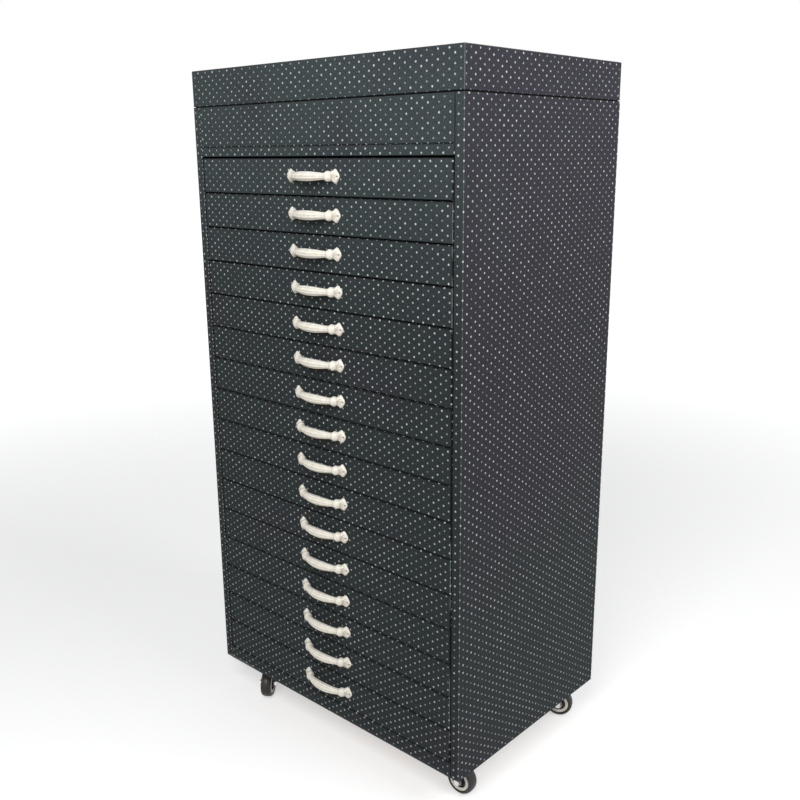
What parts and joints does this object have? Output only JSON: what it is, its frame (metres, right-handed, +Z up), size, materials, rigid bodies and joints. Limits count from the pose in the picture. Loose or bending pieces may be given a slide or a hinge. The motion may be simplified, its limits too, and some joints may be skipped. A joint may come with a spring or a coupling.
{
  "type": "microscope slide cabinet",
  "caption": "Tall cabinet of shallow slide drawers with bow handles, a lift-up lid over a top compartment, and swivel casters.",
  "frame": {"origin": "on the floor, under the middle of the carcass", "axes": "+X to the cabinet's right as its user faces away from it, -Y out of the drawer fronts, +Z up"},
  "size_m": [0.56, 0.4095, 1.11],
  "materials": {
    "wrapped_board": "fibreboard wrapped in dark slate vinyl with small pale dots",
    "back_board": "thin dark hardboard",
    "bare_wood": "planed hardwood strip",
    "ivory_metal": "cast metal with aged ivory enamel",
    "plated_steel": "zinc-plated pressed steel",
    "fork_steel": "black coated pressed steel",
    "hub_plastic": "black moulded hub with a pale ring",
    "caster_tyre": "black tyre"
  },
  "bodies": {
    "cabinet": {"left_side_panel": "wrapped_board", "right_side_panel": "wrapped_board", "back_panel": "back_board", "bottom_panel": "wrapped_board", "compartment_floor": "wrapped_board", "front_fascia": "wrapped_board", "rear_rail": "wrapped_board", "bottom_rail": "wrapped_board", "drawer_runners": "bare_wood", "fixed_hinge_leaves": "plated_steel", "hinge_pins": "plated_steel", "caster_plates": "plated_steel", "caster_screws": "plated_steel"},
    "lid": {"lid_panel": "wrapped_board", "lid_rim": "wrapped_board", "lid_hinge_leaves": "plated_steel"},
    "drawer_01": {"drawer_01": "wrapped_board", "handle_01": "ivory_metal"},
    "drawer_02": {"drawer_02": "wrapped_board", "handle_02": "ivory_metal"},
    "drawer_03": {"drawer_03": "wrapped_board", "handle_03": "ivory_metal"},
    "drawer_04": {"drawer_04": "wrapped_board", "handle_04": "ivory_metal"},
    "drawer_05": {"drawer_05": "wrapped_board", "handle_05": "ivory_metal"},
    "drawer_06": {"drawer_06": "wrapped_board", "handle_06": "ivory_metal"},
    "drawer_07": {"drawer_07": "wrapped_board", "handle_07": "ivory_metal"},
    "drawer_08": {"drawer_08": "wrapped_board", "handle_08": "ivory_metal"},
    "drawer_09": {"drawer_09": "wrapped_board", "handle_09": "ivory_metal"},
    "drawer_10": {"drawer_10": "wrapped_board", "handle_10": "ivory_metal"},
    "drawer_11": {"drawer_11": "wrapped_board", "handle_11": "ivory_metal"},
    "drawer_12": {"drawer_12": "wrapped_board", "handle_12": "ivory_metal"},
    "drawer_13": {"drawer_13": "wrapped_board", "handle_13": "ivory_metal"},
    "drawer_14": {"drawer_14": "wrapped_board", "handle_14": "ivory_metal"},
    "drawer_15": {"drawer_15": "wrapped_board", "handle_15": "ivory_metal"},
    "drawer_16": {"drawer_16": "wrapped_board", "handle_16": "ivory_metal"},
    "caster_front_right": {"caster_fork_front_right": "fork_steel"},
    "wheel_front_right": {"caster_hub_front_right": "hub_plastic", "caster_tyre_front_right": "caster_tyre"},
    "caster_back_right": {"caster_fork_back_right": "fork_steel"},
    "wheel_back_right": {"caster_hub_back_right": "hub_plastic", "caster_tyre_back_right": "caster_tyre"},
    "caster_front_left": {"caster_fork_front_left": "fork_steel"},
    "wheel_front_left": {"caster_hub_front_left": "hub_plastic", "caster_tyre_front_left": "caster_tyre"},
    "caster_back_left": {"caster_fork_back_left": "fork_steel"},
    "wheel_back_left": {"caster_hub_back_left": "hub_plastic", "caster_tyre_back_left": "caster_tyre"}
  },
  "joints": [
    {"name": "lid_hinge", "type": "hinge", "parent": "cabinet", "child": "lid", "pos_m": [0, 0.1938, 1.0546], "axis": [-1, 0, 0], "range_deg": [0, 100]},
    {"name": "drawer_01_slide", "type": "slide", "parent": "cabinet", "child": "drawer_01", "axis": [0, -1, 0], "range_m": [0, 0.27]},
    {"name": "drawer_02_slide", "type": "slide", "parent": "cabinet", "child": "drawer_02", "axis": [0, -1, 0], "range_m": [0, 0.27]},
    {"name": "drawer_03_slide", "type": "slide", "parent": "cabinet", "child": "drawer_03", "axis": [0, -1, 0], "range_m": [0, 0.27]},
    {"name": "drawer_04_slide", "type": "slide", "parent": "cabinet", "child": "drawer_04", "axis": [0, -1, 0], "range_m": [0, 0.27]},
    {"name": "drawer_05_slide", "type": "slide", "parent": "cabinet", "child": "drawer_05", "axis": [0, -1, 0], "range_m": [0, 0.27]},
    {"name": "drawer_06_slide", "type": "slide", "parent": "cabinet", "child": "drawer_06", "axis": [0, -1, 0], "range_m": [0, 0.27]},
    {"name": "drawer_07_slide", "type": "slide", "parent": "cabinet", "child": "drawer_07", "axis": [0, -1, 0], "range_m": [0, 0.27]},
    {"name": "drawer_08_slide", "type": "slide", "parent": "cabinet", "child": "drawer_08", "axis": [0, -1, 0], "range_m": [0, 0.27]},
    {"name": "drawer_09_slide", "type": "slide", "parent": "cabinet", "child": "drawer_09", "axis": [0, -1, 0], "range_m": [0, 0.27]},
    {"name": "drawer_10_slide", "type": "slide", "parent": "cabinet", "child": "drawer_10", "axis": [0, -1, 0], "range_m": [0, 0.27]},
    {"name": "drawer_11_slide", "type": "slide", "parent": "cabinet", "child": "drawer_11", "axis": [0, -1, 0], "range_m": [0, 0.27]},
    {"name": "drawer_12_slide", "type": "slide", "parent": "cabinet", "child": "drawer_12", "axis": [0, -1, 0], "range_m": [0, 0.27]},
    {"name": "drawer_13_slide", "type": "slide", "parent": "cabinet", "child": "drawer_13", "axis": [0, -1, 0], "range_m": [0, 0.27]},
    {"name": "drawer_14_slide", "type": "slide", "parent": "cabinet", "child": "drawer_14", "axis": [0, -1, 0], "range_m": [0, 0.27]},
    {"name": "drawer_15_slide", "type": "slide", "parent": "cabinet", "child": "drawer_15", "axis": [0, -1, 0], "range_m": [0, 0.27]},
    {"name": "drawer_16_slide", "type": "slide", "parent": "cabinet", "child": "drawer_16", "axis": [0, -1, 0], "range_m": [0, 0.27]},
    {"name": "caster_front_right_swivel", "type": "hinge", "parent": "cabinet", "child": "caster_front_right", "pos_m": [0.214, -0.136, 0.0581], "axis": [0, 0, 1], "continuous": true},
    {"name": "wheel_front_right_roll", "type": "hinge", "parent": "caster_front_right", "child": "wheel_front_right", "pos_m": [0.24396, -0.13443, 0.024], "axis": [-0.0523, 0.9986, 0], "continuous": true},
    {"name": "caster_back_right_swivel", "type": "hinge", "parent": "cabinet", "child": "caster_back_right", "pos_m": [0.214, 0.136, 0.0581], "axis": [0, 0, 1], "continuous": true},
    {"name": "wheel_back_right_roll", "type": "hinge", "parent": "caster_back_right", "child": "wheel_back_right", "pos_m": [0.24141, 0.1482, 0.024], "axis": [-0.4067, 0.9135, 0], "continuous": true},
    {"name": "caster_front_left_swivel", "type": "hinge", "parent": "cabinet", "child": "caster_front_left", "pos_m": [-0.214, -0.136, 0.0581], "axis": [0, 0, 1], "continuous": true},
    {"name": "wheel_front_left_roll", "type": "hinge", "parent": "caster_front_left", "child": "wheel_front_left", "pos_m": [-0.19722, -0.16087, 0.024], "axis": [0.829, 0.5592, 0], "continuous": true},
    {"name": "caster_back_left_swivel", "type": "hinge", "parent": "cabinet", "child": "caster_back_left", "pos_m": [-0.214, 0.136, 0.0581], "axis": [0, 0, 1], "continuous": true},
    {"name": "wheel_back_left_roll", "type": "hinge", "parent": "caster_back_left", "child": "wheel_back_left", "pos_m": [-0.18466, 0.14224, 0.024], "axis": [-0.2079, 0.9781, 0], "continuous": true}
  ]
}
